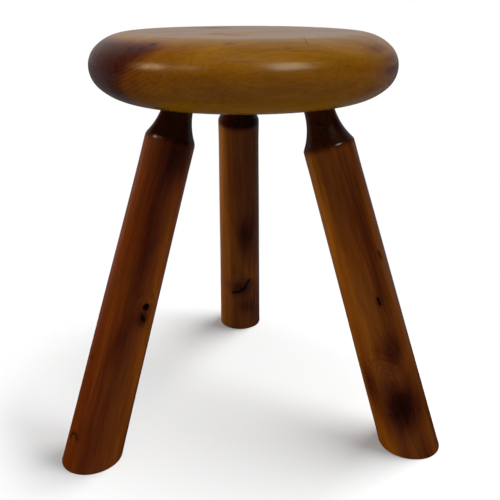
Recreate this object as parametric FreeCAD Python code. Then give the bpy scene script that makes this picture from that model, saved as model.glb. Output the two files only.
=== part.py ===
import FreeCAD, Part
import math
import os

# Low stool: one thick round seat on three splayed round legs, all turned from pine.
# Millimetres, +Z up, floor at z = 0. Everything is first built about the seat's own
# axis and then moved together, so that the origin lies on the floor under the middle
# of the stool's box.

# Seat, a round slab with a full, soft edge
seat_height = 430.0         # floor to the top of the seat
seat_diameter = 310.0
seat_thickness = 63.5
crown_depth = 31.5          # from the top down to the widest line of the rim
rim_round = 26.0            # radius of the tighter arc along that line
top_round_width = 40.0      # how far the shallow arc above it reaches in
under_round_width = 41.0    # and the one below
grain_azimuth = 13.0        # direction of the seat's grain in plan, degrees

# Legs, turned alike: a round tenon, a hollow neck, a soft shoulder and a straight taper
tenon_diameter = 30.0
tenon_length = 42.0         # from the seat's underside to the tenon's end, along the leg
tenon_chamfer = 1.5
cove_radius = 65.0          # the neck's hollow, in profile
foot_chamfer = 1.0

# Where each leg stands: its socket in the underside and its foot on the floor, each by
# its radius from the seat's axis and its azimuth in degrees, and how it was turned by
# hand and driven. neck is the length left between the seat and the corner of the
# shoulder, before the corner is rounded.
legs = {
    "back": {
        "socket_radius": 77.8,
        "socket_azimuth": 94.7,
        "foot_radius": 202.8,
        "foot_azimuth": 91.8,
        "neck": 43.0,
        "shoulder_diameter": 48.4,
        "shoulder_round": 8.0,
        "foot_diameter": 59.2,
    },
    "left": {
        "socket_radius": 75.6,
        "socket_azimuth": 213.8,
        "foot_radius": 199.3,
        "foot_azimuth": 214.3,
        "neck": 36.5,
        "shoulder_diameter": 50.0,
        "shoulder_round": 12.0,
        "foot_diameter": 61.4,
    },
    "right": {
        "socket_radius": 80.8,
        "socket_azimuth": 332.9,
        "foot_radius": 203.8,
        "foot_azimuth": 333.5,
        "neck": 44.8,
        "shoulder_diameter": 52.0,
        "shoulder_round": 6.0,
        "foot_diameter": 63.0,
    },
}

# The hidden lock: a saw kerf across the tenon, opened by a wedge that meets the bottom
# of the socket as the leg is driven home
kerf_width = 2.0
kerf_depth = 34.0
wedge_spread = 1.0          # how far the wedge pushes each half of the tenon outwards
wedge_length = 28.0
wedge_width = 26.0

# Fits
glue_line = 0.1             # tenon to socket wall
socket_end_gap = 0.5        # tenon's end to the bottom of the socket
wedge_clearance = 0.05      # wedge to the walls of the kerf

saw_overcut = 5.0           # how far the kerf cut starts beyond the tenon's end
tolerance = 0.001           # for finding an edge by its size and height

tenon_radius = tenon_diameter / 2
underside_height = seat_height - seat_thickness


def polar_point(radius, azimuth, height):
    """Point at a radius from the axis, an azimuth and a height."""
    angle = math.radians(azimuth)
    return FreeCAD.Vector(radius * math.cos(angle), radius * math.sin(angle), height)


def profile_point(radius, height):
    """Point of a turning profile, in the XZ plane."""
    return FreeCAD.Vector(radius, 0, height)


def turn(edges):
    """Solid of revolution about Z from a closed profile in the XZ plane."""
    face = Part.Face(Part.Wire(edges))
    return face.revolve(FreeCAD.Vector(0, 0, 0), FreeCAD.Vector(0, 0, 1), 360)


def polyline(points):
    """Straight edges from point to point."""
    return [Part.makeLine(start, end) for start, end in zip(points[:-1], points[1:])]


def arc_about(centre, start, end):
    """Shorter arc about a centre from a start to an end."""
    toward_middle = (start - centre) + (end - centre)
    middle = centre + toward_middle.normalize() * (start - centre).Length
    return Part.Arc(start, middle, end).toShape()


def shallow_radius(width, depth):
    """Radius of the shallow arc that leaves a flat and runs tangent into the rim's
    tighter arc, where the whole round is width by depth."""
    return (width ** 2 + depth ** 2 - 2 * width * rim_round) / (2 * (depth - rim_round))


def seat_slab():
    """The turned seat before its sockets are bored: two flats joined by three tangent arcs."""
    rim_radius = seat_diameter / 2
    top_flat = rim_radius - top_round_width
    under_flat = rim_radius - under_round_width
    top_centre = profile_point(0, seat_height)
    top_edge = profile_point(top_flat, seat_height)
    under_edge = profile_point(under_flat, underside_height)
    under_centre = profile_point(0, underside_height)
    rim_centre = profile_point(rim_radius - rim_round, seat_height - crown_depth)
    top_radius = shallow_radius(top_round_width, crown_depth)
    under_radius = shallow_radius(under_round_width, seat_thickness - crown_depth)
    top_arc_centre = profile_point(top_flat, seat_height - top_radius)
    under_arc_centre = profile_point(under_flat, underside_height + under_radius)
    top_joint = rim_centre + (rim_centre - top_arc_centre).normalize() * rim_round
    under_joint = rim_centre + (rim_centre - under_arc_centre).normalize() * rim_round
    return turn([
        Part.makeLine(top_centre, top_edge),
        arc_about(top_arc_centre, top_edge, top_joint),
        arc_about(rim_centre, top_joint, under_joint),
        arc_about(under_arc_centre, under_joint, under_edge),
        Part.makeLine(under_edge, under_centre),
        Part.makeLine(under_centre, top_centre),
    ])


def socket_mouth(leg):
    """Where the leg's axis meets the seat's underside."""
    return polar_point(leg["socket_radius"], leg["socket_azimuth"], underside_height)


def foot_centre(leg):
    """Where the leg's axis meets the floor."""
    return polar_point(leg["foot_radius"], leg["foot_azimuth"], 0)


def leg_placement(leg):
    """Leg's own frame: origin at the socket's mouth, Z up the leg, X along the seat's grain."""
    mouth = socket_mouth(leg)
    grain = polar_point(1, grain_azimuth, 0)
    up_the_leg = mouth - foot_centre(leg)
    rotation = FreeCAD.Rotation(grain, FreeCAD.Vector(0, 0, 0), up_the_leg, "ZXY")
    return FreeCAD.Placement(mouth, rotation)


def leg_reach(leg):
    """Distance along the leg's axis from the socket's mouth to the floor."""
    return (socket_mouth(leg) - foot_centre(leg)).Length


def neck_edges(leg, clearance, end_gap):
    """Profile of the tenon and the hollow neck, from the tenon's end down to the shoulder.

    The tenon widens evenly towards its end, where the wedge spreads it. The cove is an
    arc tangent to the tenon. With a clearance this is the profile of the socket.
    """
    radius = tenon_radius + clearance
    end_radius = radius + wedge_spread
    end_height = tenon_length + end_gap
    shoulder_radius = leg["shoulder_diameter"] / 2 + clearance
    hollow = cove_radius - clearance
    rise = shoulder_radius - radius
    cove_length = math.sqrt(hollow ** 2 - (hollow - rise) ** 2)
    cove_top = cove_length - leg["neck"]
    half_way = cove_length / 2
    half_rise = hollow - math.sqrt(hollow ** 2 - half_way ** 2)
    straight = polyline([
        profile_point(0, end_height),
        profile_point(end_radius - tenon_chamfer, end_height),
        profile_point(end_radius, end_height - tenon_chamfer),
        profile_point(radius, tenon_length - kerf_depth),
        profile_point(radius, cove_top),
    ])
    cove = Part.Arc(
        profile_point(radius, cove_top),
        profile_point(radius + half_rise, cove_top - half_way),
        profile_point(shoulder_radius, -leg["neck"]),
    )
    return straight + [cove.toShape()]


def kerf_half_width(depth):
    """Half the width of the opened kerf at a depth below the tenon's end."""
    return kerf_width / 2 + wedge_spread * (1 - depth / kerf_depth)


def kerf_prism(near_depth, far_depth, width, clearance):
    """Tapered slab that fills the kerf between two depths below the tenon's end."""
    near = kerf_half_width(near_depth) - clearance
    far = kerf_half_width(far_depth) - clearance
    near_height = tenon_length - near_depth
    far_height = tenon_length - far_depth
    corners = [
        FreeCAD.Vector(near, -width / 2, near_height),
        FreeCAD.Vector(far, -width / 2, far_height),
        FreeCAD.Vector(-far, -width / 2, far_height),
        FreeCAD.Vector(-near, -width / 2, near_height),
    ]
    face = Part.Face(Part.makePolygon(corners + corners[:1]))
    return face.extrude(FreeCAD.Vector(0, width, 0))


def is_level(edge, height):
    """Whether an edge lies flat at a height."""
    return abs(edge.BoundBox.ZMin - height) < tolerance and abs(edge.BoundBox.ZMax - height) < tolerance


def circle_edges(solid, radius, height):
    """Edges of a turned solid that are circles of this radius at this height."""
    level_edges = [edge for edge in solid.Edges if is_level(edge, height)]
    circles = [edge for edge in level_edges if hasattr(edge.Curve, "Radius")]
    return [edge for edge in circles if abs(edge.Curve.Radius - radius) < tolerance]


def turned_leg(leg):
    """Leg as it leaves the lathe, in its own frame, longer than it will stand."""
    reach = leg_reach(leg)
    neck = leg["neck"]
    shoulder_radius = leg["shoulder_diameter"] / 2
    foot_radius = leg["foot_diameter"] / 2
    spare = leg["foot_diameter"]
    taper = (foot_radius - shoulder_radius) / (reach - neck)
    end_radius = foot_radius + taper * spare
    body = polyline([
        profile_point(shoulder_radius, -neck),
        profile_point(end_radius, -reach - spare),
        profile_point(0, -reach - spare),
        profile_point(0, tenon_length),
    ])
    blank = turn(neck_edges(leg, 0, 0) + body)
    return blank.makeFillet(leg["shoulder_round"], circle_edges(blank, shoulder_radius, -neck))


def standing_leg(leg):
    """Leg with its tenon kerfed, set at its splay and cut level with the floor."""
    kerf = kerf_prism(-saw_overcut, kerf_depth, 2 * tenon_diameter, 0)
    solid = turned_leg(leg).cut(kerf)
    solid.Placement = leg_placement(leg)
    reach = seat_height
    corner = FreeCAD.Vector(-reach, -reach, -reach)
    below_floor = Part.makeBox(2 * reach, 2 * reach, reach, corner)
    solid = solid.cut(below_floor)
    sole_edges = [edge for edge in solid.Edges if is_level(edge, 0)]
    return solid.makeChamfer(foot_chamfer, sole_edges)


def socket_tool(leg):
    """What the auger and the gouge take out of the seat for one leg, with the glue line."""
    edges = neck_edges(leg, glue_line, socket_end_gap)
    bottom = edges[0].Vertexes[0].Point
    lip = edges[-1].Vertexes[-1].Point
    edges += polyline([lip, profile_point(0, lip.z), bottom])
    tool = turn(edges)
    tool.Placement = leg_placement(leg)
    return tool


def tenon_wedge(leg):
    """Hidden wedge in the kerf, head level with the tenon's end."""
    solid = kerf_prism(0, wedge_length, wedge_width, wedge_clearance)
    solid.Placement = leg_placement(leg)
    return solid


def stool_pieces():
    """Every piece by name, about the seat's axis."""
    pieces = {"seat": seat_slab()}
    for side, leg in legs.items():
        pieces["seat"] = pieces["seat"].cut(socket_tool(leg))
        pieces["leg_" + side] = standing_leg(leg)
        pieces["wedge_" + side] = tenon_wedge(leg)
    return pieces


pieces = stool_pieces()
box = Part.makeCompound(list(pieces.values())).optimalBoundingBox()
to_origin = FreeCAD.Vector(-box.Center.x, -box.Center.y, 0)
print("seat axis at", round(to_origin.x, 2), round(to_origin.y, 2))
print("box", round(box.XLength, 2), round(box.YLength, 2), round(box.ZLength, 2))

os.makedirs("parts", exist_ok=True)
for name, piece in pieces.items():
    piece.translate(to_origin)
    piece.exportStep("parts/" + name + ".step")
    print(name, "solids", len(piece.Solids), "volume", round(piece.Volume / 1000, 1), "cm3")
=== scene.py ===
import math
import bpy
import numpy as np
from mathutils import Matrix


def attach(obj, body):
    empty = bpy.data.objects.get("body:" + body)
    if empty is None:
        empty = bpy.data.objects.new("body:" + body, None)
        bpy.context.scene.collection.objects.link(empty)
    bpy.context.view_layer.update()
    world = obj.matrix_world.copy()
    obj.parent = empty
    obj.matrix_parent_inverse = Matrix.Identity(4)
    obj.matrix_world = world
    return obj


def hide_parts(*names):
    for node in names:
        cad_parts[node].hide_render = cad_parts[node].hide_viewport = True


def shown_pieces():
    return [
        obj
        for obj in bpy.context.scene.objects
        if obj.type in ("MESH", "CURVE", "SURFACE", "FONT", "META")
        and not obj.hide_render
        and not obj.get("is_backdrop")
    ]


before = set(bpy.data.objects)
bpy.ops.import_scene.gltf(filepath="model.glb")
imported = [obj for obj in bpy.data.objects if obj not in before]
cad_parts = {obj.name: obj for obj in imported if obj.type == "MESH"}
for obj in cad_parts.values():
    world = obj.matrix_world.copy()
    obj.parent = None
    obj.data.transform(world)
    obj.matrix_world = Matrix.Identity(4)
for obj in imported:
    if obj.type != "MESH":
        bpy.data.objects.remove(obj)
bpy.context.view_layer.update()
print("frame loaded:", ", ".join(sorted(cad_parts)))

# Lengths are in mm until a mesh is written, and places are in the frame's own axes.
perMetre = 1000
seatAxis = np.array([-9.39, -39.4, 0.0])
straightUp = np.array([0.0, 0.0, 1.0])
sharpFrom = 35.0  # degrees between two faces from which their edge stays sharp
driftSpans = (61.0, 83.0)  # mm along the grain over which a pith swings one way and the other
noMark = 99.0  # distance in mm that stands for no mark nearby


# ramp from 0 to 1 between two edges with flat ends: 3t^2 - 2t^3
def softStep(low, high, value):
    t = np.clip((value - low) / (high - low), 0, 1)
    return t * t * (3 - 2 * t)


# unevenness from 0 to 1: three crossed sine waves, added and scaled
def waves(a, b, seed):
    first = np.sin(2 * a + 3 * b + seed)
    second = np.sin(3 * a - 2 * b + 2.3 * seed)
    third = np.sin(5 * a + b + 4.1 * seed)
    return 0.5 + (first + second + third) / 6


def unit(vector):
    return np.asarray(vector, float) / np.linalg.norm(vector)


# length of each vector in an array of them
def lengths(rows):
    return np.linalg.norm(rows, axis=-1)


# sRGB hex to the linear colour that a shader takes
def tone(hexCode):
    values = [int(hexCode[i:i + 2], 16) / 255 for i in (1, 3, 5)]
    return [v / 12.92 if v <= 0.04045 else ((v + 0.055) / 1.055) ** 2.4 for v in values] + [1.0]


# points on a circle in the profile's plane at evenly stepped angles, the first one left out
def arcRow(centre, radius, fromAngle, toAngle, count):
    angle = np.linspace(fromAngle, toAngle, count + 1)[1:]
    return np.column_stack([centre[0] + radius * np.cos(angle), centre[1] + radius * np.sin(angle)])


# points on a straight line at even steps, the first one left out
def lineRow(start, end, count):
    share = np.linspace(0, 1, count + 1)[1:, None]
    return np.asarray(start) * (1 - share) + np.asarray(end) * share


# closed skin from a grid of points, rows down the profile and columns around, with a pole at each end
def gridMesh(name, grid, firstPole, lastPole):
    rows, columns = grid.shape[:2]
    points = np.concatenate([grid.reshape(-1, 3), [firstPole], [lastPole]]) / perMetre
    index = np.arange(rows * columns).reshape(rows, columns)
    beside = np.roll(index, -1, axis=1)
    quads = np.stack([index[:-1], index[1:], beside[1:], beside[:-1]], axis=-1).reshape(-1, 4)
    firstFan = np.column_stack([np.full(columns, rows * columns), index[0], beside[0]])
    lastFan = np.column_stack([np.full(columns, rows * columns + 1), beside[-1], index[-1]])
    mesh = bpy.data.meshes.new(name)
    mesh.from_pydata(points.tolist(), [], quads.tolist() + firstFan.tolist() + lastFan.tolist())
    obj = bpy.data.objects.new(name, mesh)
    bpy.context.scene.collection.objects.link(obj)
    return obj


# cuts the tools out of a piece for good and removes them, then smooths all but its sharp edges
def cutAndFinish(obj, tools):
    for tool in tools:
        cut = obj.modifiers.new("cut", "BOOLEAN")
        cut.operation = "DIFFERENCE"
        cut.solver = "EXACT"
        cut.object = tool
    graph = bpy.context.evaluated_depsgraph_get()
    obj.data = bpy.data.meshes.new_from_object(obj.evaluated_get(graph))
    obj.modifiers.clear()
    for tool in tools:
        bpy.data.objects.remove(tool)
    obj.data.shade_smooth()
    obj.data.set_sharp_from_angle(angle=math.radians(sharpFrom))
    obj.data.name = obj.name


# vertex places in mm, or vertex normals
def vertexRows(obj, what):
    values = np.empty(len(obj.data.vertices) * 3, np.float32)
    if what == "normals":
        obj.data.vertex_normals.foreach_get("vector", values)
        return values.reshape(-1, 3).astype(float)
    obj.data.vertices.foreach_get("co", values)
    return values.reshape(-1, 3).astype(float) * perMetre


def storeAttribute(obj, name, values):
    kind = "FLOAT_VECTOR" if values.ndim == 2 else "FLOAT"
    attribute = obj.data.attributes.new(name, kind, "POINT")
    attribute.data.foreach_set("vector" if values.ndim == 2 else "value", values.astype(np.float32).ravel())


# shortest distance from each place to a polyline, less the half width of the mark drawn along it
def markDistance(places, path, halfWidth):
    nearest = lengths(places - path[0])
    for start, end in zip(path[:-1], path[1:]):
        run = end - start
        share = np.clip((places - start) @ run / (run @ run), 0, 1)
        nearest = np.minimum(nearest, lengths(places - start - share[:, None] * run))
    return nearest - halfWidth


# Gives a piece the wood it was cut from: each vertex gets its place along and across the grain,
# its distance from the pith, how dark the stain lies with the painted shade and light laid into the
# same value, and its distance from the nearest knot or mark. A pith has a place across the grain and
# a slope along it. A knot bends the rings by a bell-shaped bump and pushes the fibres apart around it.
def giveGrain(obj, wood, stainAndShading):
    places = vertexRows(obj, "places")
    local = (places - wood["origin"]) @ np.array(wood["axes"]).T
    along, across = local[:, 0], local[:, 1:].copy()
    for knot in wood["knots"]:
        offset = places - knot["at"]
        bell = np.exp(-(lengths(offset) / knot["reach"]) ** 2)
        across *= (1 - knot["spread"] * bell)[:, None]
    drift = np.column_stack([
        np.sin(along / driftSpans[0] + wood["seed"]),
        np.sin(along / driftSpans[1] + 2 * wood["seed"]),
    ]) * wood["drift"]
    pith = np.array(wood["pith"]) + np.outer(along, wood["pithSlope"]) + drift
    ring = lengths(local[:, 1:] - pith)
    for knot in wood["knots"]:
        ring += knot["lift"] * np.exp(-(lengths(places - knot["at"]) / knot["reach"]) ** 2)
    mark = np.full(len(places), noMark)
    for each in wood["marks"]:
        mark = np.minimum(mark, markDistance(places, each["path"], each["halfWidth"]))
    storeAttribute(obj, "grain", np.column_stack([along, across]))
    storeAttribute(obj, "ring", ring)
    storeAttribute(obj, "stainAndShading", stainAndShading)
    storeAttribute(obj, "mark", mark)


# Seat: a thick round slab turned from one wide board. Stain is 0 where the wood has its plain colour
# and 1 in deep end grain. Patches and worn places are (x, y, z, half size along and across the grain
# and upwards, depth).
seat = {
    "height": 430.0,
    "diameter": 310.0,
    "thickness": 63.5,
    "crownDepth": 31.5,
    "rimRound": 26.0,
    "topRoundWidth": 40.0,
    "underRoundWidth": 41.0,
    "grainAzimuth": 13.0,
    "columns": 560,
    "rows": {"top": 30, "topRound": 34, "rim": 44, "underRound": 30, "under": 14},
    "unevenness": 0.3,
    "unevenFrom": (100, 130),  # radii over which the turning's unevenness sets in
    "unevenHeight": 40,
    "unevenSeed": 1.7,
    "dents": 26,
    "dentSeed": 11,
    "dentRows": (20, 120),  # rows of the skin on which dents may lie
    "dentSize": (2.5, 6.0),
    "dentDepth": (0.1, 0.35),
    "pith": (-30.0, 140.0),
    "pithSlope": (0.02, 0.03),
    "pithDrift": 1.5,
    "seed": 3.1,
    "ringWidth": 3.3,
    "endHeights": (366, 380, 390, 400, 412, 419, 426),  # at these heights the dark end grain
    "endReach": (30, 31, 30, 33, 39, 43, 47),  # reaches so many degrees round from its middle
    "endDepth": 1.0,
    "endEdge": 6,  # degrees over which it fades, either way from there
    "endHalo": 24,  # and over which its halo does, which holds a share of the stain
    "haloShare": 0.25,
    "endRadii": (105, 130),  # it sets in between these radii,
    "endSlopes": (0.98, 0.8),  # and between these upward parts of the skin's normal
    "farEndDepth": 0.3,
    "farEndBetween": (0.5, 0.95),  # parts of the normal along the grain
    "bandDepth": 0.15,  # rim a little darker in a band round its middle: partly the stain's hue, partly painted shade
    "stainAndShadeBandTop": (418, 402),
    "stainAndShadeBandFoot": (374, 384),
    "ringsAside": 0.12,  # how strongly the rings show along the grain,
    "ringsAtEnd": 1.1,  # how much more at the dark end,
    "darkEndBetween": (0.5, 0.85),
    "ringsAtFarEnd": 0.3,  # and at the far one
    "palerEndBetween": (0.5, 0.9),
    "patches": [
        (-21, -170, 426, 3.5, 2.0, 2.0, 0.22), (26, -173, 422, 2.5, 1.8, 2.0, 0.2),
        (-42, 22, 430, 15, 8, 8, 1.0), (60, -40, 430, 40, 9, 8, 0.35), (-80, -60, 430, 30, 8, 8, 0.3),
        (112, -118, 419, 20, 20, 3.4, 0.3), (127, -103, 410, 20, 20, 2.6, 0.28),
        (126, -111, 400, 20, 20, 3.2, 0.38), (104, -135, 386, 10, 10, 2.5, 0.2),
        (-122, -112, 379, 20, 14, 14, 0.4),
    ],
    "worn": [
        (-39, -80, 430, 10, 9, 8, 0.4), (-30, -95, 430, 11, 9, 8, 0.5), (-21, -109, 430, 10, 8, 8, 0.4),
        (-7, -78, 430, 9, 8, 8, 0.3), (-10, -113, 430, 10, 6, 8, 0.35), (22, -62, 430, 14, 9, 8, 0.2),
        (-42, 22, 430, 14, 8, 8, 0.5), (70, -110, 430, 22, 9, 8, 0.15), (-75, -112, 430, 18, 9, 8, 0.2),
    ],
    "knotPath": [(-87.5, -150.5, 425.0), (-84.5, -152.5, 424.8)],
    "knotHalfWidth": 0.8,
    "scratch": [(40.5, -137.0), (44.0, -167.0)],  # over the front edge, its two ends in plan
    "scratchWidth": 0.8,
    "scratchFade": (2.2, 0.6),  # half widths over which it sets in
    "scratchTaper": 0.2,  # share of its length over which each end does
    "scratchDepth": 0.6,
}
underside = seat["height"] - seat["thickness"]


# radius of the shallow arc that leaves a flat and runs tangent into the rim's tighter arc
def shallowRadius(width, depth):
    rim = seat["rimRound"]
    return (width ** 2 + depth ** 2 - 2 * width * rim) / (2 * (depth - rim))


# seat's profile as (radius, height): flat, shallow arc, rim arc, shallow arc, flat
def seatProfile():
    rimRadius = seat["diameter"] / 2
    topFlat = rimRadius - seat["topRoundWidth"]
    underFlat = rimRadius - seat["underRoundWidth"]
    topRadius = shallowRadius(seat["topRoundWidth"], seat["crownDepth"])
    underRadius = shallowRadius(seat["underRoundWidth"], seat["thickness"] - seat["crownDepth"])
    rimCentre = np.array([rimRadius - seat["rimRound"], seat["height"] - seat["crownDepth"]])
    topCentre = np.array([topFlat, seat["height"] - topRadius])
    underCentre = np.array([underFlat, underside + underRadius])
    topJoint = math.atan2(*(rimCentre - topCentre)[::-1])
    underJoint = math.atan2(*(rimCentre - underCentre)[::-1])
    steps = seat["rows"]
    return np.concatenate([
        lineRow([0, seat["height"]], [topFlat, seat["height"]], steps["top"]),
        arcRow(topCentre, topRadius, math.pi / 2, topJoint, steps["topRound"]),
        arcRow(rimCentre, seat["rimRound"], topJoint, underJoint, steps["rim"]),
        arcRow(underCentre, underRadius, underJoint, -math.pi / 2, steps["underRound"]),
        lineRow([underFlat, underside], [0, underside], steps["under"])[:-1],
    ])


# rows of (across, height) turned about the seat's axis: (r cos a, r sin a, z)
def turnedAbout(rows, angle):
    return np.stack([
        np.outer(rows[:, 0], np.cos(angle)),
        np.outer(rows[:, 0], np.sin(angle)),
        np.outer(rows[:, 1], np.ones_like(angle)),
    ], axis=-1)


# seat's skin, with unevenness and bell-shaped dents pressed in along the profile's own normal
def makeSeat():
    profile = seatProfile()
    slope = np.gradient(profile, axis=0)
    outward = np.column_stack([-slope[:, 1], slope[:, 0]]) / lengths(slope)[:, None]
    outward = np.where((outward @ [1.0, 0.0] < 0)[:, None], -outward, outward)
    angle = np.linspace(0, 2 * math.pi, seat["columns"], endpoint=False)
    turned = turnedAbout(profile, angle)
    rimShare = softStep(*seat["unevenFrom"], profile[:, 0])[:, None]
    uneven = waves(angle[None, :], profile[:, 1:] / seat["unevenHeight"], seat["unevenSeed"])
    sunk = seat["unevenness"] * uneven * rimShare
    dice = np.random.default_rng(seat["dentSeed"])
    for _ in range(seat["dents"]):
        row = dice.integers(*seat["dentRows"])
        column = dice.integers(0, seat["columns"])
        size = dice.uniform(*seat["dentSize"])
        depth = dice.uniform(*seat["dentDepth"])
        away = lengths(turned - turned[row, column])
        sunk = sunk + depth * np.exp(-(away / size) ** 2)
    grid = turned - turnedAbout(outward, angle) * sunk[..., None] + seatAxis
    top = seatAxis + straightUp * seat["height"]
    return gridMesh("seat_pine", grid, top, seatAxis + straightUp * underside)


# Legs: turned alike, with a tenon, a hollow neck, a soft shoulder and a straight taper to the foot.
# Socket and foot are (radius, azimuth) about the seat's axis. A place on a leg is (distance down it
# from the seat, degrees round it from its front to its right). A knot lifts the rings by so many mm and
# spreads the fibres by a share, within its reach. Patches are (down, round, half height in mm, half
# width in degrees, depth of the stain). Most are stain; those that run the whole leg down one side are
# painted light where they lighten a side and painted shade where they darken one, and one just under
# the left leg's shoulder is a painted shadow of the seat.
legs = {
    "back": {
        "socket": (77.8, 94.7),
        "foot": (202.8, 91.8),
        "neck": 43.0,
        "shoulderDiameter": 48.4,
        "shoulderRound": 8.0,
        "footDiameter": 59.2,
        "pith": (31.0, 22.0),
        "pithSlope": (0.03, -0.02),
        "seed": 2.4,
        "knots": [{"at": (293, 5), "reach": 16, "lift": 5.0, "spread": 0.5}],
        "marks": [{"path": [(304, -19), (303, -8), (297, 10), (282, 28)], "halfWidth": 1.6}],
        "patches": [
            (200, 17, 26, 22, 0.75), (296, 4, 14, 32, 0.7), (330, 20, 16, 20, 0.5),
            # the first two here, each the whole length of a side, are painted shade on its right side and
            # painted light on its left side
            (200, 55, 400, 42, 0.4), (200, -58, 400, 30, -0.2), (285, 50, 30, 30, -0.3),
        ],
    },
    "left": {
        "socket": (75.6, 213.8),
        "foot": (199.3, 214.3),
        "neck": 36.5,
        "shoulderDiameter": 50.0,
        "shoulderRound": 12.0,
        "footDiameter": 61.4,
        "pith": (-26.0, -33.0),
        "pithSlope": (-0.03, 0.015),
        "seed": 0.9,
        "knots": [{"at": (204, 40), "reach": 13, "lift": 6.0, "spread": 0.6}],
        "marks": [
            {"path": [(204, 40)], "halfWidth": 3.8},
            {"path": [(215, 36), (218, 42)], "halfWidth": 1.6},
            {"path": [(271, -57)], "halfWidth": 1.0},
            {"path": [(362, -60), (356, -54), (355, -44), (359, -37)], "halfWidth": 0.7},
        ],
        "patches": [
            (130, 8, 90, 16, 0.45), (216, 38, 10, 14, 0.6), (245, 2, 30, 16, 0.35),
            # both here are painted: the first is painted light the whole length of its right side, the
            # second a painted shadow of the seat just under the shoulder
            (250, 62, 400, 26, -0.35), (50, 35, 22, 34, 0.8),
        ],
    },
    "right": {
        "socket": (80.8, 332.9),
        "foot": (203.8, 333.5),
        "neck": 44.8,
        "shoulderDiameter": 52.0,
        "shoulderRound": 6.0,
        "footDiameter": 63.0,
        "pith": (24.0, -30.0),
        "pithSlope": (0.02, 0.03),
        "seed": 4.2,
        "knots": [{"at": (300, -8), "reach": 26, "lift": 16.0, "spread": 0.6}],
        "marks": [
            {"path": [(205, 12), (212, 13)], "halfWidth": 1.1},
            {"path": [(160, 44), (168, 47)], "halfWidth": 0.8},
        ],
        "patches": [
            # the first here is painted light the whole length of its left side
            (200, -52, 400, 30, -0.2), (329, 5, 24, 34, 1.4), (264, 14, 18, 22, 0.7),
            (300, -52, 22, 16, 0.6), (190, 22, 60, 14, 0.4), (110, 20, 40, 20, 0.3),
            (395, 25, 30, 16, 0.4), (395, -45, 30, 12, -0.3),
        ],
    },
}
joinery = {
    "tenonDiameter": 30.0,
    "tenonLength": 42.0,
    "tenonChamfer": 1.5,
    "coveRadius": 65.0,
    "kerfWidth": 2.0,
    "kerfDepth": 34.0,
    "kerfOvercut": 5.0,
    "wedgeSpread": 1.0,
    "glueLine": 0.1,
    "socketEndGap": 0.5,
}
turning = {
    "columns": 208,
    "socketColumns": 144,
    "tenonRows": (4, 1, 12, 6),  # end, chamfer, kerfed length and the rest
    "coveRows": 26,
    "socketCoveRows": 28,
    "shoulderRows": 8,
    "bodyRows": 261,
    "edgeRows": 4,
    "soleRows": 13,
    "soleSpan": (0.07, 0.93),  # shares of the way from the sole's edge to its middle
    "sanding": 0.12,  # taken off all round below the shoulder
    "unevenness": 0.35,
    "unevenLength": 90,
    "neckFade": 30,  # sanding and unevenness set in over this much of the leg
    "floorFade": 12,  # and the unevenness ends over this much above the floor
    "leastWear": 0.7,  # taken off the sole's edge all round,
    "moreWear": 0.9,  # and more at its most worn place
    "pithDrift": 1.2,
}
stainAndShadingOnLegs = {
    "neck": 0.75,  # on the hollow neck: partly stain, partly painted shade under the seat
    "openGrain": 0.35,  # and more where the cove cuts across the grain,
    "openBetween": (0.08, 0.3),  # between these parts of its normal along the leg
    "edge": (6, -4),  # mm past the shoulder's corner where it ends and where it is whole
    "limits": (-0.4, 1.6),
    "rings": 0.8,  # how strongly the rings show on plain wood,
    "ringsPerStain": 0.8,  # how much more in stained places,
    "mostRings": 1.2,  # and at most
}


def polarPoint(place, height):
    radius, azimuth = place
    angle = math.radians(azimuth)
    return seatAxis + np.array([radius * math.cos(angle), radius * math.sin(angle), height])


# leg's own frame: its mouth at the seat, up the leg, the side that faces the front, and its right side
def legFrame(leg):
    mouth = polarPoint(leg["socket"], underside)
    foot = polarPoint(leg["foot"], 0)
    up = unit(mouth - foot)
    front = unit(np.array([0.0, -1.0, 0.0]) + up * up[1])
    right = np.cross(front, up) * -1
    return {"mouth": mouth, "up": up, "front": front, "right": right, "reach": np.linalg.norm(mouth - foot)}


# radius of the straight taper at a distance down the leg
def taperRadius(leg, reach, down):
    start, end = leg["shoulderDiameter"] / 2, leg["footDiameter"] / 2
    return start + (end - start) * (down - leg["neck"]) / (reach - leg["neck"])


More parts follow.
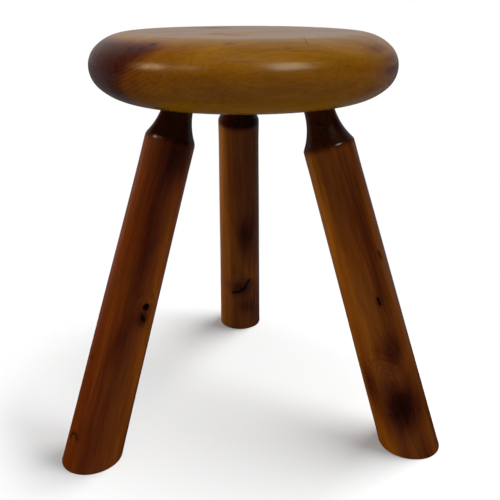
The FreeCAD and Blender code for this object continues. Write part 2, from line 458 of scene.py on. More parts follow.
# tenon and neck as (radius, distance down), each grown by a clearance: the tenon widens to its end,
# the cove is an arc tangent to it, and the shoulder's round is tangent to the cove and the taper.
# Without the shoulder it is the profile of the socket.
def neckProfile(leg, reach, clearance, endGap, withShoulder):
    radius = joinery["tenonDiameter"] / 2 + clearance
    endRadius = radius + joinery["wedgeSpread"]
    end = -joinery["tenonLength"] - endGap
    chamfer = joinery["tenonChamfer"]
    hollow = joinery["coveRadius"] - clearance
    shoulder = leg["shoulderDiameter"] / 2 + clearance
    coveLength = math.sqrt(hollow ** 2 - (hollow - shoulder + radius) ** 2)
    coveStart = leg["neck"] - coveLength
    coveCentre = np.array([radius + hollow, coveStart])
    kerfBottom = joinery["kerfDepth"] - joinery["tenonLength"]
    corners = [
        (0, end),
        (endRadius - chamfer, end),
        (endRadius, end + chamfer),
        (radius, kerfBottom),
        (radius, coveStart),
    ]
    steps = zip(corners[:-1], corners[1:], turning["tenonRows"])
    rows = [lineRow(start, stop, count) for start, stop, count in steps]
    if not withShoulder:
        coveEnd = math.pi - math.asin(coveLength / hollow)
        rows.append(arcRow(coveCentre, hollow, math.pi, coveEnd, turning["socketCoveRows"]))
        return np.concatenate(rows)
    slope = taperRadius(leg, reach, 1) - taperRadius(leg, reach, 0)
    taperNormal = unit([1, -slope])
    roundRadius = leg["shoulderRound"]
    onTaper = np.array([taperRadius(leg, reach, 0), 0]) - taperNormal * roundRadius
    run = unit([slope, 1])
    toCove = coveCentre - onTaper
    half = toCove @ run
    reachBack = half ** 2 - (toCove @ toCove - (hollow + roundRadius) ** 2)
    roundCentre = onTaper + run * (half + math.sqrt(reachBack))
    joint = math.atan2(*(roundCentre - coveCentre)[::-1])
    taperAngle = math.atan2(*taperNormal[::-1])
    rows.append(arcRow(coveCentre, hollow, math.pi, joint, turning["coveRows"]))
    rows.append(arcRow(roundCentre, roundRadius, joint - math.pi, taperAngle, turning["shoulderRows"]))
    return np.concatenate(rows)


# places on the leg from radii and distances down it, at angles counted from its front to its right
def aroundLeg(axes, radius, down, angle):
    toFront = np.multiply.outer(np.cos(angle), axes["front"])
    toRight = np.multiply.outer(np.sin(angle), axes["right"])
    return axes["mouth"] - axes["up"] * down[..., None] + (toFront + toRight) * radius[..., None]


# rows of (radius, distance down) turned about the leg's axis
def turnedRows(axes, rows, angle):
    everyAngle = np.tile(angle, (len(rows), 1))
    return aroundLeg(axes, rows[:, :1] + 0 * everyAngle, rows[:, 1:] + 0 * everyAngle, everyAngle)


# a place on the leg's side, from its distance down and its degrees round
def onLeg(leg, axes, down, turn):
    radius = np.array(taperRadius(leg, axes["reach"], down))
    return aroundLeg(axes, radius, np.array(down), np.array(math.radians(turn)))


# distance down the leg at which its side meets z = 0, for each angle
def floorDistance(leg, axes, angle):
    reach = axes["reach"]
    slope = taperRadius(leg, reach, 1) - taperRadius(leg, reach, 0)
    lean = np.cos(angle) * axes["front"][2] + np.sin(angle) * axes["right"][2]
    startRadius = taperRadius(leg, reach, 0) - turning["sanding"]
    return (axes["mouth"][2] + startRadius * lean) / (axes["up"][2] - slope * lean)


# body from the shoulder's round to just above the floor, sanded and a little uneven
def bodyGrid(leg, axes, angle, startDown, endDown, floorDown):
    share = np.linspace(0, 1, turning["bodyRows"] + 1)[1:, None]
    down = startDown * (1 - share) + endDown * share
    everyAngle = np.tile(angle, (len(share), 1))
    setIn = softStep(startDown, startDown + turning["neckFade"], down)
    fade = setIn * softStep(0, turning["floorFade"], floorDown - down)
    uneven = turning["unevenness"] * waves(everyAngle, down / turning["unevenLength"], leg["seed"]) * fade
    sanded = turning["sanding"] * setIn
    return aroundLeg(axes, taperRadius(leg, axes["reach"], down) - uneven - sanded, down, everyAngle)


# Leg's skin, from the tenon's end down. Neck rows are circles. Body rows run from the round of the
# shoulder to just above the floor. The sole's edge is a Bezier curve from the side to the sole about
# the sharp corner, worn more in some places than in others.
def makeLeg(side, leg):
    axes = legFrame(leg)
    angle = np.linspace(0, 2 * math.pi, turning["columns"], endpoint=False)
    neck = neckProfile(leg, axes["reach"], 0, 0, True)
    floorDown = floorDistance(leg, axes, angle)
    wear = turning["leastWear"] + turning["moreWear"] * waves(angle, leg["seed"] + 0 * angle, leg["seed"])
    body = bodyGrid(leg, axes, angle, neck[-1, 1], floorDown - wear, floorDown)
    cornerRadius = taperRadius(leg, axes["reach"], floorDown) - turning["sanding"]
    corner = aroundLeg(axes, cornerRadius, floorDown, angle)
    foot = polarPoint(leg["foot"], 0)
    onSole = corner + (foot - corner) / lengths(foot - corner)[:, None] * wear[:, None]
    bend = np.linspace(0, 1, turning["edgeRows"] + 1)[1:, None, None]
    edge = body[-1] * (1 - bend) ** 2 + corner * 2 * bend * (1 - bend) + onSole * bend ** 2
    ease = np.linspace(*turning["soleSpan"], turning["soleRows"])[:, None, None]
    sole = onSole * (1 - ease) + foot * ease
    tenonEnd = axes["mouth"] + axes["up"] * joinery["tenonLength"]
    grid = np.concatenate([turnedRows(axes, neck, angle), body, edge, sole])
    return gridMesh("leg_" + side + "_pine", grid[:, ::-1], tenonEnd, foot), axes


# what is bored out of the seat for one leg
def socketTool(side, leg):
    axes = legFrame(leg)
    angle = np.linspace(0, 2 * math.pi, turning["socketColumns"], endpoint=False)
    rows = neckProfile(leg, axes["reach"], joinery["glueLine"], joinery["socketEndGap"], False)
    deepEnd = axes["mouth"] - axes["up"] * rows[0, 1]
    wideEnd = axes["mouth"] - axes["up"] * rows[-1, 1]
    return gridMesh("socket_" + side, turnedRows(axes, rows, angle)[:, ::-1], deepEnd, wideEnd)


# slab that opens the kerf, wider at the tenon's end, where the wedge has spread it
def kerfTool(side, leg):
    axes = legFrame(leg)
    azimuth = math.radians(seat["grainAzimuth"])
    grainWay = np.array([math.cos(azimuth), math.sin(azimuth), 0.0])
    along = unit(grainWay - axes["up"] * (grainWay @ axes["up"]))
    across = np.cross(axes["up"], along)
    saw = joinery["kerfWidth"] / 2
    over = joinery["kerfOvercut"]
    top = axes["mouth"] + axes["up"] * (joinery["tenonLength"] + over)
    bottom = axes["mouth"] + axes["up"] * (joinery["tenonLength"] - joinery["kerfDepth"])
    wide = saw + joinery["wedgeSpread"] * (1 + over / joinery["kerfDepth"])
    length = joinery["tenonDiameter"]
    grid = np.array([
        [place + along * half * a + across * length * b for a, b in ((1, -1), (1, 1), (-1, 1), (-1, -1))]
        for place, half in ((top, wide), (bottom, saw))
    ])
    return gridMesh("kerf_" + side, grid, top, bottom)


# adds a node: sets holds its settings and constant inputs, links its inputs that other nodes feed
def addNode(tree, kind, sets=None, links=None):
    node = tree.nodes.new("ShaderNode" + kind)
    for name, value in (sets or {}).items():
        if isinstance(name, int) or name in node.inputs:
            node.inputs[name].default_value = value
        else:
            setattr(node, name, value)
    for name, source in (links or {}).items():
        tree.links.new(source, node.inputs[name])
    return node


# a reckoning on numbers or vectors, its inputs in order, each a constant or another node's output
def addSum(tree, kind, operation, *values):
    feeds = {at: value for at, value in enumerate(values) if isinstance(value, bpy.types.NodeSocket)}
    constants = {at: value for at, value in enumerate(values) if at not in feeds}
    return addNode(tree, kind, {"operation": operation} | constants, feeds)


def maths(tree, operation, *values):
    return addSum(tree, "Math", operation, *values).outputs[0]


def vectors(tree, operation, *values):
    return addSum(tree, "VectorMath", operation, *values).outputs[0]


# the product or length of vectors, which is a number
def measure(tree, operation, *values):
    return addSum(tree, "VectorMath", operation, *values).outputs["Value"]


def attributeOf(tree, name, output="Fac"):
    return addNode(tree, "Attribute", {"attribute_name": name}).outputs[output]


# a value brought from one span to another and kept within it
def mapped(tree, value, low, high, least=0.0, most=1.0, shape="LINEAR"):
    sets = {"interpolation_type": shape, "From Min": low, "From Max": high, "To Min": least, "To Max": most}
    return addNode(tree, "MapRange", sets, {"Value": value}).outputs[0]


# a colour laid over another by a share from 0 to 1
def laidOver(tree, base, colour, share, way="MIX"):
    sets = {"data_type": "RGBA", "blend_type": way, 7: tone(colour)}
    return addNode(tree, "Mix", sets, {0: share, 6: base}).outputs[2]


# noise of a stated size in mm along and across the grain
def grainNoise(tree, grain, size, detail, roughness=0.5):
    longWay, crossWay = size
    place = vectors(tree, "MULTIPLY", grain, (1 / longWay, 1 / crossWay, 1 / crossWay))
    sets = {"Scale": 1.0, "Detail": detail, "Roughness": roughness}
    return addNode(tree, "TexNoise", sets, {"Vector": place}).outputs["Fac"]


def emptyMaterial(name):
    material = bpy.data.materials.new(name)
    material.use_nodes = True
    material.node_tree.nodes.clear()
    return material, material.node_tree


# What the seat's pine and the legs' pine share. A pattern's size is in mm along and across the grain,
# and where one shows is the span of its noise between none and all of it.
pineGrain = {
    "wander": (110, 22),
    "lateWood": ((0.0, 0.25), (0.12, 0.0), (0.55, 0.12), (0.86, 0.85), (0.95, 1.0), (1.0, 0.25)),
    "faintest": 0.35,  # depth of the faintest ring, as a share of the deepest
    "band": (190, 12),
    "bandShows": (0.38, 0.68),
    "fleck": (7, 0.9),
    "fleckShows": (0.66, 0.76),
    "fibre": (42, 1.5),  # coarser than real ones, so that they show
    "fibreShows": (0.3, 0.7),
    "mottle": (26, 5),
    "mottledStain": (0.9, 0.55),  # the stain is multiplied by the mottle times one, plus the other
    "ragged": 1.6,  # mm by which the mottle moves a mark's edge
    "core": (1.5, 0.3),  # mm from the mark over which its core and its halo set in
    "halo": (4.5, 0.5),
    "haloDepth": 0.55,
    "speckCell": 24,
    "speckedCells": (0.7, 1.0),  # of the cells' own random numbers
    "speckSize": 0.045,  # in cells, at most
    "speckEdge": 0.02,
    "speckDepth": 0.7,
    "lateRelief": 0.6,  # how much the late wood stands up beside the fibres
    "throughCoat": 0.05,  # how much of the wood's relief the coat still shows
    "coatFlow": (34, 9),
    "coatWear": (70, 5),
    "wearShows": (0.35, 0.65),
    "coatWeight": (0.7, 1.0),
    "roughness": (0.42, 0.6),  # of the wood under the coat
}


# late wood from 0 to 1: rings that wander by a mm or two, each a sawtooth that ends sharply
def ringPattern(tree, grain, look):
    swing = grainNoise(tree, grain, pineGrain["wander"], 3.0)
    moved = maths(tree, "MULTIPLY_ADD", swing, look["wander"], attributeOf(tree, "ring"))
    phase = maths(tree, "DIVIDE", moved, look["ringWidth"])
    lateWood = addNode(tree, "ValToRGB", {}, {"Fac": maths(tree, "FRACT", phase)})
    stops = lateWood.color_ramp.elements
    for place, _ in pineGrain["lateWood"][1:-1]:
        stops.new(place)
    for stop, (_, level) in zip(stops, pineGrain["lateWood"]):
        stop.color = (level, level, level, 1.0)
    count = maths(tree, "FLOOR", phase)
    eachRing = addNode(tree, "TexWhiteNoise", {"noise_dimensions": "1D"}, {"W": count})
    faintest = pineGrain["faintest"] * look["ringDepth"]
    depth = mapped(tree, eachRing.outputs["Value"], 0.0, 1.0, faintest, look["ringDepth"])
    shown = maths(tree, "MULTIPLY", depth, attributeOf(tree, "ringShow"))
    return maths(tree, "MULTIPLY", lateWood.outputs["Color"], shown)


# early wood to late wood, then bands, flecks, and fibres that lighten or darken
def woodColour(tree, grain, late, fibre, look):
    sets = {"data_type": "RGBA", 6: tone(look["early"]), 7: tone(look["late"])}
    ringed = addNode(tree, "Mix", sets, {0: late}).outputs[2]
    band = grainNoise(tree, grain, pineGrain["band"], 3.0)
    bandShare = mapped(tree, band, *pineGrain["bandShows"], 0.0, look["bandDepth"])
    banded = laidOver(tree, ringed, look["band"], bandShare)
    fleck = grainNoise(tree, grain, pineGrain["fleck"], 1.0)
    fleckShare = mapped(tree, fleck, *pineGrain["fleckShows"], 0.0, look["fleckDepth"])
    flecked = laidOver(tree, banded, look["fleck"], fleckShare)
    gain = mapped(tree, fibre, *pineGrain["fibreShows"], 1 - look["fibreDepth"], 1 + look["fibreDepth"])
    return addNode(tree, "VectorMath", {"operation": "SCALE"}, {0: flecked, "Scale": gain}).outputs[0]


# stain, with the painted shade and light held in the same value: the wood's colour times the deep
# colour to the power of how dark it lies there, as thicker dye absorbs, with an edge that follows the fibres
def stainedColour(tree, wood, mottle, look):
    mottled = maths(tree, "MULTIPLY_ADD", mottle, *pineGrain["mottledStain"])
    share = maths(tree, "MULTIPLY", mottled, attributeOf(tree, "stainAndShading"))
    return vectors(tree, "MULTIPLY", wood, vectors(tree, "POWER", tone(look["deep"])[:3], share))


# knots and marks: a dark core with a ragged edge, and a halo a few mm wide
def markedColour(tree, wood, mottle, look):
    ragged = maths(tree, "MULTIPLY_ADD", mottle, pineGrain["ragged"], attributeOf(tree, "mark"))
    haloShare = mapped(tree, ragged, *pineGrain["halo"], 0.0, pineGrain["haloDepth"])
    haloed = laidOver(tree, wood, look["deep"], haloShare, "MULTIPLY")
    return laidOver(tree, haloed, look["knot"], mapped(tree, ragged, *pineGrain["core"]))


# specks: a small dark dent in about three of ten cells
def speckedColour(tree, wood, grain, look):
    shrink = {"operation": "SCALE", "Scale": 1 / pineGrain["speckCell"]}
    place = addNode(tree, "VectorMath", shrink, {0: grain}).outputs[0]
    cell = addNode(tree, "TexVoronoi", {"Scale": 1.0}, {"Vector": place})
    chosen = addNode(tree, "SeparateXYZ", {}, {0: cell.outputs["Color"]}).outputs["X"]
    size = mapped(tree, chosen, *pineGrain["speckedCells"], 0.0, pineGrain["speckSize"])
    edge = maths(tree, "SUBTRACT", size, cell.outputs["Distance"])
    share = mapped(tree, edge, 0.0, pineGrain["speckEdge"], 0.0, pineGrain["speckDepth"])
    return laidOver(tree, wood, look["knot"], share)


# scratch: a thin dark line between two places in plan, kept to the upper half of the rim and the top
def scratchedColour(tree, wood, scratch, look):
    start, end = (np.append(place, 0) / perMetre for place in scratch)
    length = float(np.linalg.norm(end - start))
    halfWidth = seat["scratchWidth"] / 2 / perMetre
    place = addNode(tree, "TexCoord").outputs["Object"]
    plan = vectors(tree, "MULTIPLY_ADD", place, (1, 1, 0), -start)
    beside = measure(tree, "LENGTH", vectors(tree, "CROSS_PRODUCT", plan, unit(end - start)))
    onward = measure(tree, "DOT_PRODUCT", plan, unit(end - start))
    outer, inner = seat["scratchFade"]
    thin = mapped(tree, beside, outer * halfWidth, inner * halfWidth, 0.0, seat["scratchDepth"])
    begun = mapped(tree, onward, 0.0, seat["scratchTaper"] * length)
    ended = mapped(tree, onward, length, (1 - seat["scratchTaper"]) * length)
    height = addNode(tree, "SeparateXYZ", {}, {0: place}).outputs["Z"]
    onTop = maths(tree, "GREATER_THAN", height, (seat["height"] - seat["crownDepth"]) / perMetre)
    across = maths(tree, "MULTIPLY", thin, onTop)
    along = maths(tree, "MULTIPLY", begun, ended)
    return laidOver(tree, wood, look["knot"], maths(tree, "MULTIPLY", across, along))


# Pine, turned, sanded, stained and lacquered. The eye gets soft pale early wood between thin dark
# late wood, fine fibres along the grain, darker places where end grain drank the stain, painted shade
# and painted light laid on through the same stain value, and over it all a thin semi-gloss coat.
# Lacquer has an IOR of about 1.5 and here a roughness near 0.2. Fibres and late wood stand a few
# hundredths of a mm, and the coat, thinner in places, levels most of it out.
def lacqueredPine(name, look, scratch=None):
    material, tree = emptyMaterial(name)
    grain = attributeOf(tree, "grain", "Vector")
    late = ringPattern(tree, grain, look)
    fibre = grainNoise(tree, grain, pineGrain["fibre"], 6.0, 0.68)
    mottle = grainNoise(tree, grain, pineGrain["mottle"], 4.0, 0.6)
    colour = woodColour(tree, grain, late, fibre, look)
    colour = stainedColour(tree, colour, mottle, look)
    colour = markedColour(tree, colour, mottle, look)
    colour = speckedColour(tree, colour, grain, look)
    if scratch:
        colour = scratchedColour(tree, colour, scratch, look)
    uneven = maths(tree, "MULTIPLY_ADD", late, pineGrain["lateRelief"], fibre)
    relief = addNode(tree, "Bump", {"Strength": 0.35, "Distance": 0.00006}, {"Height": uneven})
    flow = grainNoise(tree, grain, pineGrain["coatFlow"], 2.0)
    levelled = maths(tree, "MULTIPLY_ADD", uneven, pineGrain["throughCoat"], flow)
    coatRelief = addNode(tree, "Bump", {"Strength": 0.5, "Distance": 0.0004}, {"Height": levelled})
    rubbing = grainNoise(tree, grain, pineGrain["coatWear"], 3.0, 0.65)
    rubbed = mapped(tree, rubbing, *pineGrain["wearShows"], *pineGrain["coatWeight"])
    thinned = addNode(tree, "Math", {"operation": "SUBTRACT", "use_clamp": True},
                      {0: rubbed, 1: attributeOf(tree, "wear")})
    settings = {
        "IOR": 1.5,
        "Specular IOR Level": 0.02,
        "Coat Roughness": look["coatRoughness"],
        "Coat IOR": 1.5,
    }
    feeds = {
        "Base Color": colour,
        "Roughness": mapped(tree, fibre, 0.0, 1.0, *pineGrain["roughness"]),
        "Normal": relief.outputs[0],
        "Coat Weight": thinned.outputs[0],
        "Coat Normal": coatRelief.outputs[0],
    }
    shader = addNode(tree, "BsdfPrincipled", settings, feeds)
    addNode(tree, "OutputMaterial", {}, {"Surface": shader.outputs[0]})
    return material


seatPine = {
    "early": "#875a00", "late": "#5c3602", "band": "#714703", "fleck": "#3d2203", "deep": "#76413e",
    "knot": "#1d0d05", "ringWidth": seat["ringWidth"], "ringDepth": 1.0,
    "bandDepth": 0.5, "fleckDepth": 0.3, "fibreDepth": 0.26, "wander": 2.0, "coatRoughness": 0.23,
}
legPine = {
    "fleck": "#260f01", "deep": "#7c5959", "knot": "#0e0502", "ringWidth": 3.0, "ringDepth": 0.7,
    "bandDepth": 0.7, "fleckDepth": 0.3, "fibreDepth": 0.3, "wander": 2.0, "coatRoughness": 0.23,
}
legTints = {
    "back": {"early": "#723c00", "late": "#4a2100", "band": "#4b1e00"},
    "left": {"early": "#672e00", "late": "#4a1a00", "band": "#491600"},
    "right": {"early": "#703a00", "late": "#4c2100", "band": "#4d1c00"},
}


wedgeBeech = {"pale": "#c8a37c", "fleck": "#94683f", "roughness": (0.6, 0.85)}


# Beech, sawn and left bare inside the joint. The eye would get pale pinkish wood with short dark
# flecks and a dry, slightly rough sawn face.
def sawnBeech():
    material, tree = emptyMaterial("beech, sawn and bare")
    place = addNode(tree, "TexCoord").outputs["Object"]
    fleckPlace = addNode(tree, "Mapping", {"Scale": (900, 900, 160)}, {"Vector": place}).outputs[0]
    fleck = addNode(tree, "TexNoise", {"Scale": 1.0, "Detail": 2.0}, {"Vector": fleckPlace}).outputs["Fac"]
    tones = {"data_type": "RGBA", 6: tone(wedgeBeech["pale"]), 7: tone(wedgeBeech["fleck"])}
    colour = addNode(tree, "Mix", tones, {0: mapped(tree, fleck, 0.58, 0.7)}).outputs[2]
    sawPlace = addNode(tree, "Mapping", {"Scale": (300, 300, 1400)}, {"Vector": place}).outputs[0]
    saw = addNode(tree, "TexNoise", {"Scale": 1.0}, {"Vector": sawPlace}).outputs["Fac"]
    bump = addNode(tree, "Bump", {"Strength": 0.6, "Distance": 0.0002}, {"Height": saw})
    rough = mapped(tree, saw, 0.0, 1.0, *wedgeBeech["roughness"])
    shader = addNode(tree, "BsdfPrincipled", {"IOR": 1.5},
                     {"Base Color": colour, "Roughness": rough, "Normal": bump.outputs[0]})
    addNode(tree, "OutputMaterial", {}, {"Surface": shader.outputs[0]})
    return material


# seat's wood: its grain in plan, a pith well above the board and a little to its front, and one mark
def seatWood():
    azimuth = math.radians(seat["grainAzimuth"])
    alongGrain = (math.cos(azimuth), math.sin(azimuth), 0)
    acrossGrain = (-math.sin(azimuth), math.cos(azimuth), 0)
    knotPath = [np.array(place) for place in seat["knotPath"]]
    return {
        "origin": seatAxis + straightUp * (seat["height"] - seat["crownDepth"]),
        "axes": [alongGrain, acrossGrain, (0, 0, 1)],
        "pith": seat["pith"],
        "pithSlope": seat["pithSlope"],
        "drift": seat["pithDrift"],
        "seed": seat["seed"],
        "knots": [],
        "marks": [{"path": knotPath, "halfWidth": seat["knotHalfWidth"]}],
    }


# bell-shaped patches added up, each with its own sizes along and across the grain and upwards
def patchSum(places, axes, patches):
    total = np.zeros(len(places))
    for x, y, z, longWay, crossWay, upWay, depth in patches:
        away = (places - [x, y, z]) @ np.array(axes).T / [longWay, crossWay, upWay]
        total += depth * np.exp(-lengths(away) ** 2)
    return total


# stain on the seat, with some painted shade: the dark end grain on the left, a little at the far end, a
# band round the rim that is partly the stain's hue and partly painted shade, and the patches
def seatStainAndShade(places, normals, wood):
    heights = places[:, 2]
    spokes = (places - seatAxis)[:, :2]
    azimuths = np.degrees(np.arctan2(spokes[:, 1], spokes[:, 0]))
    fromEnd = np.abs((azimuths - seat["grainAzimuth"]) % 360 - 180)
    reach = np.interp(heights, seat["endHeights"], seat["endReach"])
    inner = reach - seat["endEdge"]
    core = softStep(reach + seat["endEdge"], inner, fromEnd)
    halo = softStep(reach + seat["endHalo"], inner, fromEnd)
    endGrain = (1 - seat["haloShare"]) * core + seat["haloShare"] * halo
    rimSide = softStep(*seat["endSlopes"], normals[:, 2]) * softStep(*seat["endRadii"], lengths(spokes))
    farEnd = softStep(*seat["farEndBetween"], normals @ np.array(wood["axes"][0]))
    # band round the rim's middle: partly the stain's hue, partly painted shade
    band = softStep(*seat["stainAndShadeBandTop"], heights) * softStep(*seat["stainAndShadeBandFoot"], heights)
    total = endGrain * seat["endDepth"] * rimSide + seat["farEndDepth"] * farEnd + seat["bandDepth"] * band
    return total + patchSum(places, wood["axes"], seat["patches"])


# how strongly the rings show: most in the end grain, where they are cut across
def seatRings(normals, wood):
    endShare = normals @ np.array(wood["axes"][0])
    atEnd = seat["ringsAtEnd"] * softStep(*seat["darkEndBetween"], -endShare)
    atFarEnd = seat["ringsAtFarEnd"] * softStep(*seat["palerEndBetween"], endShare)
    return seat["ringsAside"] + atEnd + atFarEnd


seatObject = makeSeat()
cutAndFinish(seatObject, [socketTool(side, leg) for side, leg in legs.items()])
board = seatWood()
places = vertexRows(seatObject, "places")
normals = vertexRows(seatObject, "normals")
storeAttribute(seatObject, "wear", patchSum(places, board["axes"], seat["worn"]))
storeAttribute(seatObject, "ringShow", seatRings(normals, board))
giveGrain(seatObject, board, seatStainAndShade(places, normals, board))
seatMaterial = lacqueredPine("pine, turned, stained honey and lacquered", seatPine, seat["scratch"])
seatObject.data.materials.clear()
seatObject.data.materials.append(seatMaterial)
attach(seatObject, "root")
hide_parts("seat")
print("seat turned:", len(seatObject.data.vertices), "vertices")


# a leg's wood: its grain runs up the leg, about a pith of its own
def legWood(leg, axes):
    knots = [dict(knot, at=onLeg(leg, axes, *knot["at"])) for knot in leg["knots"]]
    marks = [dict(mark, path=[onLeg(leg, axes, *place) for place in mark["path"]]) for mark in leg["marks"]]
    return {
        "origin": axes["mouth"],
        "axes": [axes["up"], axes["right"], axes["front"]],
        "pith": leg["pith"],
        "pithSlope": leg["pithSlope"],
        "drift": turning["pithDrift"],
        "seed": leg["seed"],
        "knots": knots,
        "marks": marks,
    }


# stain on a leg, with painted light and shade: its neck, darker partly from stain and partly as painted
# shade under the seat, where the cove opened the grain, and its patches, some of them painted light and
# shade
def legStainAndShading(obj, leg, axes):
    places = vertexRows(obj, "places") - axes["mouth"]
    down = -places @ axes["up"]
    turn = np.degrees(np.arctan2(places @ axes["right"], places @ axes["front"]))
    facing = np.abs(vertexRows(obj, "normals") @ axes["up"])
    openGrain = stainAndShadingOnLegs["openGrain"] * softStep(*stainAndShadingOnLegs["openBetween"], facing)
    past, before = stainAndShadingOnLegs["edge"]
    # the whole neck darker: partly stain, partly painted shade where it sits under the seat
    total = (stainAndShadingOnLegs["neck"] + openGrain) * softStep(leg["neck"] + past, leg["neck"] + before, down)
    # patches: most are stain; those the whole length of a side are painted light and shade, and one is a
    # painted shadow of the seat
    for patchDown, patchTurn, height, width, depth in leg["patches"]:
        away = ((down - patchDown) / height) ** 2 + ((turn - patchTurn) / width) ** 2
        total = total + depth * np.exp(-away)
    return np.clip(total, *stainAndShadingOnLegs["limits"])


for side, leg in legs.items():
    materialName = "pine, turned, stained brown and lacquered, " + side + " leg"
    legMaterial = lacqueredPine(materialName, legPine | legTints[side])
    legObject, axes = makeLeg(side, leg)
    cutAndFinish(legObject, [kerfTool(side, leg)])
    stainAndShading = legStainAndShading(legObject, leg, axes)
    rings = stainAndShadingOnLegs["rings"] + stainAndShadingOnLegs["ringsPerStain"] * stainAndShading
    storeAttribute(legObject, "ringShow", np.minimum(rings, stainAndShadingOnLegs["mostRings"]))
    giveGrain(legObject, legWood(leg, axes), stainAndShading)
    legObject.data.materials.clear()
    legObject.data.materials.append(legMaterial)
    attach(legObject, "root")
    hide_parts("leg_" + side)
    print("leg turned:", side, len(legObject.data.vertices), "vertices")

# wedges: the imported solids, in bare beech
beech = sawnBeech()
for side in legs:
    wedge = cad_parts["wedge_" + side]
    wedge.data.materials.clear()
    wedge.data.materials.append(beech)

# floor: plain and pale, with the stool's shadow near it and plain white further out
floorLook = {
    "halfSize": 20,
    "level": -0.00005,  # a hair below the soles, so that they and the paper never share a plane
    "colour": "#c4c4c4",
    "bounce": "#a0a0a0",  # what it sends on to the stool
    "shadowReach": 0.24,  # from its middle, the shadow is whole up to here
    "whiteFrom": 0.32,  # and gone from here
    "middle": (-0.03, 0.0, 0.0),
    "inCoatFront": 0.006,  # how bright the coat sees it in front of the stool
    "inCoatBehind": 0.15,  # and at this distance behind it
    "behind": 0.6,
}


# Paper, plain and matt. The eye gets the lamps' shadows on it near the stool and white further out,
# the coat sees it dim, and from below it is clear.
def palePaper():
    material, tree = emptyMaterial("floor, plain pale paper")
    place = addNode(tree, "TexCoord").outputs["Object"]
    away = measure(tree, "LENGTH", vectors(tree, "SUBTRACT", place, floorLook["middle"]))
    outer = mapped(tree, away, floorLook["shadowReach"], floorLook["whiteFrom"], shape="SMOOTHSTEP")
    ray = addNode(tree, "LightPath").outputs
    seen = maths(tree, "MAXIMUM", ray["Is Camera Ray"], ray["Is Transmission Ray"])
    tones = {"data_type": "RGBA", 6: tone(floorLook["bounce"]), 7: tone(floorLook["colour"])}
    colour = addNode(tree, "Mix", tones, {0: ray["Is Camera Ray"]}).outputs[2]
    paper = addNode(tree, "BsdfDiffuse", {}, {"Color": colour})
    glow = addNode(tree, "Emission", {"Color": (1, 1, 1, 1), "Strength": 1.0})
    plain = addNode(tree, "MixShader", {},
                    {0: maths(tree, "MULTIPLY", outer, seen), 1: paper.outputs[0], 2: glow.outputs[0]})
    depth = addNode(tree, "SeparateXYZ", {}, {0: place}).outputs["Y"]
    dim = mapped(tree, depth, 0.0, floorLook["behind"], floorLook["inCoatFront"], floorLook["inCoatBehind"])
    inCoat = addNode(tree, "Emission", {"Color": (1, 1, 1, 1)}, {"Strength": dim})
    fromAbove = addNode(tree, "MixShader", {},
                        {0: ray["Is Glossy Ray"], 1: plain.outputs[0], 2: inCoat.outputs[0]})
    below = addNode(tree, "NewGeometry").outputs["Backfacing"]
    clear = addNode(tree, "BsdfTransparent")
    oneSided = addNode(tree, "MixShader", {}, {0: below, 1: fromAbove.outputs[0], 2: clear.outputs[0]})
    addNode(tree, "OutputMaterial", {}, {"Surface": oneSided.outputs[0]})
    return material


half = floorLook["halfSize"]
corners = [(x * half, y * half, floorLook["level"]) for x, y in ((-1, -1), (1, -1), (1, 1), (-1, 1))]
floorMesh = bpy.data.meshes.new("floor")
floorMesh.from_pydata(corners, [], [(0, 1, 2, 3)])
floor = bpy.data.objects.new("floor", floorMesh)
bpy.context.scene.collection.objects.link(floor)
floorMesh.materials.append(palePaper())
floor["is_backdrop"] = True

# Light: soft boxes, each for the stool or for the floor, given as watts and as degrees round from the
# front to the right and up. On the floor the seat's shadow comes from above and the legs' shadows from
# the right, each from its own lamp. The coat shows only the lamps with gloss.
plainLamp = {"distance": 2.2, "size": (1.0, 0.8), "colour": "#ffffff", "gloss": False, "lights": "stool"}
lamps = {
    "right window": {"azimuth": 36, "elevation": 45, "size": (0.85, 0.8), "power": 11.5, "gloss": True,
                     "colour": "#fffae0"},
    "left window": {"azimuth": -70, "elevation": 32, "size": (0.6, 0.54), "power": 6.6, "gloss": True,
                    "colour": "#ffe2b4"},
    "second left window": {"azimuth": -42, "elevation": 38, "size": (0.5, 0.4), "power": 1.1, "gloss": True,
                           "colour": "#ffe9c8"},
    "left front": {"azimuth": -62, "elevation": 40, "size": (1.0, 1.0), "power": 4.0},
    "left side": {"azimuth": -112, "elevation": 12, "power": 48},
    "right side": {"azimuth": 112, "elevation": 12, "power": 9},
    "above the stool": {"azimuth": 0, "elevation": 80, "distance": 2.4, "size": (1.4, 1.4), "power": 22},
    "above the floor": {"azimuth": -27, "elevation": 83.7, "distance": 1.2, "size": (0.5, 0.5), "power": 8.2,
                        "lights": "floor", "shadedBy": "seat"},
    "right of the floor": {"azimuth": 103, "elevation": 33, "distance": 5.0, "size": (8.0, 3.0),
                           "power": 800, "lights": "floor", "shadedBy": "legs"},
    "all over the floor": {"azimuth": 0, "elevation": 60, "distance": 4.0, "size": (3.0, 3.0), "power": 50,
                           "lights": "floor", "shadedBy": "floor"},
}
groups = {name: bpy.data.collections.new(name) for name in ("stool", "floor", "seat", "legs")}
groups["floor"].objects.link(floor)
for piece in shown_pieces():
    groups["stool"].objects.link(piece)
    groups["seat" if piece.name.startswith("seat") else "legs"].objects.link(piece)
aim = np.array([0.0, 0.0, 0.25])  # where the lamps look, in metres
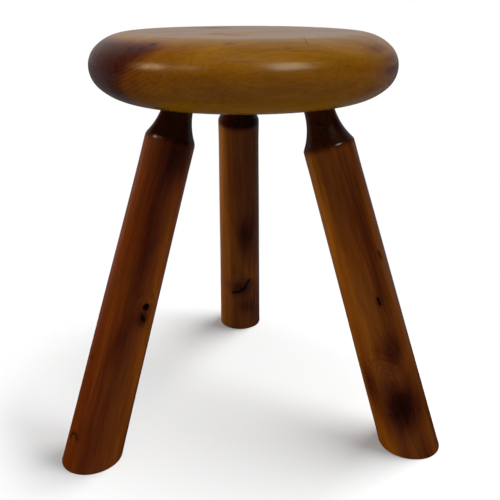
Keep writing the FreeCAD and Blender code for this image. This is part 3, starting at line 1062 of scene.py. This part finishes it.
for name, own in lamps.items():
    lamp = plainLamp | own
    data = bpy.data.lights.new(name, "AREA")
    data.shape = "RECTANGLE"
    data.size, data.size_y = lamp["size"]
    data.energy = lamp["power"]
    data.color = tone(lamp["colour"])[:3]
    obj = bpy.data.objects.new(name, data)
    bpy.context.scene.collection.objects.link(obj)
    around = math.radians(lamp["azimuth"])
    upwards = math.radians(lamp["elevation"])
    outwards = math.cos(upwards)
    way = np.array([math.sin(around) * outwards, -math.cos(around) * outwards, math.sin(upwards)])
    obj.location = aim + way * lamp["distance"]
    obj.rotation_euler = (math.pi / 2 - upwards, 0, around)
    obj.visible_glossy = lamp["gloss"]
    obj.light_linking.receiver_collection = groups[lamp["lights"]]
    if "shadedBy" in lamp:
        obj.light_linking.blocker_collection = groups[lamp["shadedBy"]]

# world: white all round for the eye; the coat sees it behind the stool, dimmer to the sides, and a
# dark room in front
worldLook = {
    "fill": 0.3,  # how brightly it lights the stool
    "room": 0.005,
    "back": 0.45,
    "backBetween": (0.15, 0.62),  # backward parts of a direction between the room and the bright back
    "side": 0.35,  # share of the bright back that is left to the sides,
    "sideBetween": (0.1, 0.85),  # between these sideways parts of a direction
}


def whiteStudio():
    world = bpy.data.worlds.new("white studio")
    world.use_nodes = True
    tree = world.node_tree
    tree.nodes.clear()
    way = addNode(tree, "SeparateXYZ", {}, {0: addNode(tree, "TexCoord").outputs["Generated"]}).outputs
    backLevels = (worldLook["room"], worldLook["back"])
    backdrop = mapped(tree, way["Y"], *worldLook["backBetween"], *backLevels, "SMOOTHSTEP")
    aside = maths(tree, "ABSOLUTE", way["X"])
    sideFade = mapped(tree, aside, *worldLook["sideBetween"], 1.0, worldLook["side"], "SMOOTHSTEP")
    inCoat = maths(tree, "MULTIPLY", backdrop, sideFade)
    ray = addNode(tree, "LightPath").outputs
    unseen = addNode(tree, "MapRange", {"To Min": worldLook["fill"]},
                     {"Value": ray["Is Glossy Ray"], "To Max": inCoat}).outputs[0]
    seen = maths(tree, "MAXIMUM", ray["Is Camera Ray"], ray["Is Transmission Ray"])
    strength = maths(tree, "MAXIMUM", seen, unseen)
    sky = addNode(tree, "Background", {"Color": (1, 1, 1, 1)}, {"Strength": strength})
    addNode(tree, "OutputWorld", {}, {"Surface": sky.outputs[0]})
    return world


bpy.context.scene.world = whiteStudio()
print("floor and light set")

# camera, placed from the photograph's own perspective: mm back from the seat's axis and up, degrees
# to the right and down, and a lens in mm
view = {"back": 688.8, "height": 464.5, "turn": 0.54, "tilt": 21.44, "lens": 46.94}
cameraData = bpy.data.cameras.new("camera")
cameraData.sensor_width = 36
cameraData.lens = view["lens"]
cameraData.clip_start = 0.01
camera = bpy.data.objects.new("camera", cameraData)
bpy.context.scene.collection.objects.link(camera)
camera.location = (seatAxis + np.array([0, -view["back"], view["height"]])) / perMetre
camera.rotation_euler = (math.radians(90 - view["tilt"]), 0, -math.radians(view["turn"]))
bpy.context.scene.camera = camera
bpy.context.scene.view_settings.view_transform = "Standard"
